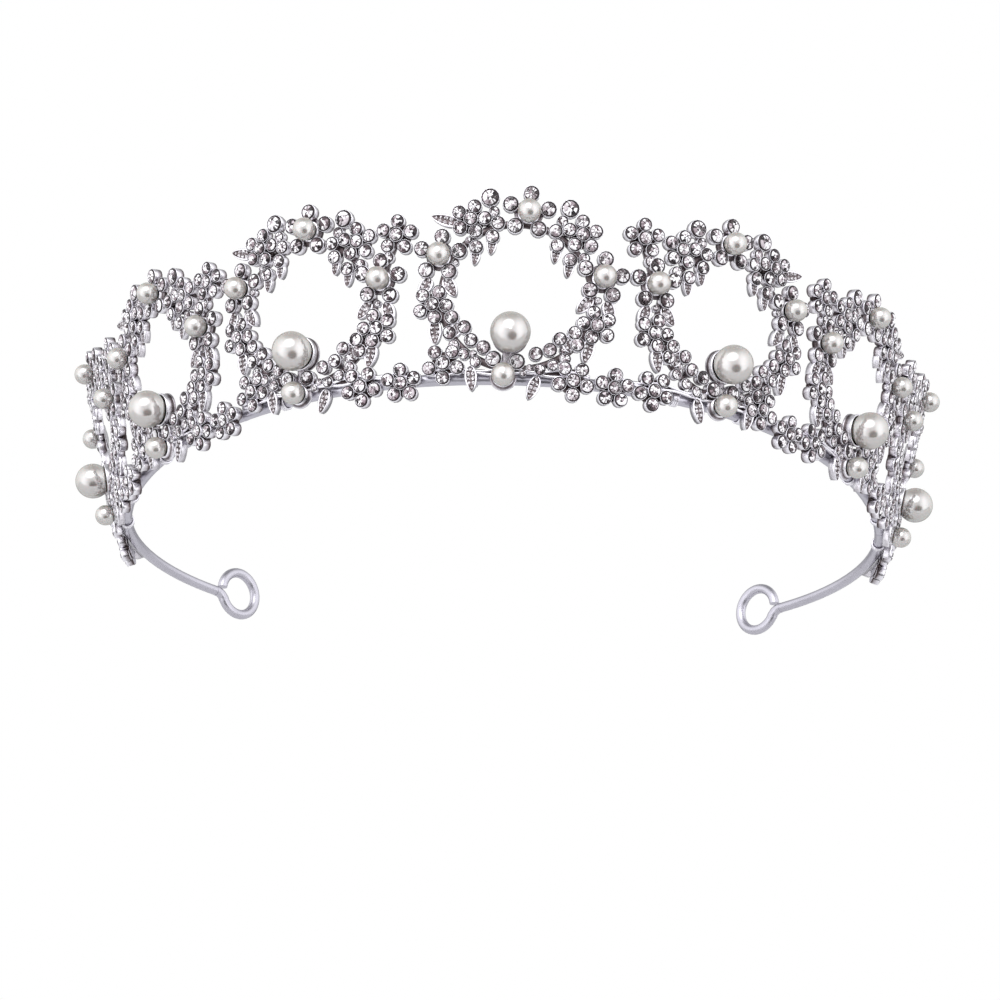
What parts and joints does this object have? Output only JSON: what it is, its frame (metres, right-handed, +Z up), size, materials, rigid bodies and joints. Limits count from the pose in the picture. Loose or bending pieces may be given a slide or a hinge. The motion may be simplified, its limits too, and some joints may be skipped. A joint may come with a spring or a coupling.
{
  "type": "rhinestone crown headband",
  "caption": "Open tiara: flower wreaths set with clear stones and pearls on a bent base wire with a loop at each end.",
  "frame": {"origin": "middle of the whole in plan, on the surface that the crown rests on", "axes": "+Z up, +Y to the back of the wearer's head, +X to the wearer's left"},
  "size_m": [0.1761, 0.1348, 0.0376],
  "materials": {
    "wire_metal": "satin silver-coloured wire",
    "cast_metal": "bright silver-coloured casting, dark in its recesses",
    "stone": "clear cut stone, backed with foil",
    "pearl": "glossy ivory pearl coating"
  },
  "bodies": {
    "root": {"base_wire": "wire_metal", "wreath_1": "cast_metal", "wreath_2": "cast_metal", "wreath_3": "cast_metal", "wreath_4": "cast_metal", "wreath_5": "cast_metal", "wreath_6": "cast_metal", "wreath_7": "cast_metal", "stones_1": "stone", "stones_2": "stone", "stones_3": "stone", "stones_4": "stone", "stones_5": "stone", "stones_6": "stone", "stones_7": "stone", "large_pearl_1": "pearl", "large_pearl_2": "pearl", "large_pearl_3": "pearl", "large_pearl_4": "pearl", "large_pearl_5": "pearl", "large_pearl_6": "pearl", "large_pearl_7": "pearl", "top_pearl_1": "pearl", "top_pearl_2": "pearl", "top_pearl_3": "pearl", "top_pearl_4": "pearl", "top_pearl_5": "pearl", "top_pearl_6": "pearl", "top_pearl_7": "pearl", "right_pearl_1": "pearl", "right_pearl_2": "pearl", "right_pearl_3": "pearl", "right_pearl_4": "pearl", "right_pearl_5": "pearl", "right_pearl_6": "pearl", "right_pearl_7": "pearl", "left_pearl_1": "pearl", "left_pearl_2": "pearl", "left_pearl_3": "pearl", "left_pearl_4": "pearl", "left_pearl_5": "pearl", "left_pearl_6": "pearl", "left_pearl_7": "pearl", "low_pearl_1": "pearl", "low_pearl_2": "pearl", "low_pearl_3": "pearl", "low_pearl_4": "pearl", "low_pearl_5": "pearl", "low_pearl_6": "pearl", "low_pearl_7": "pearl"}
  },
  "joints": []
}
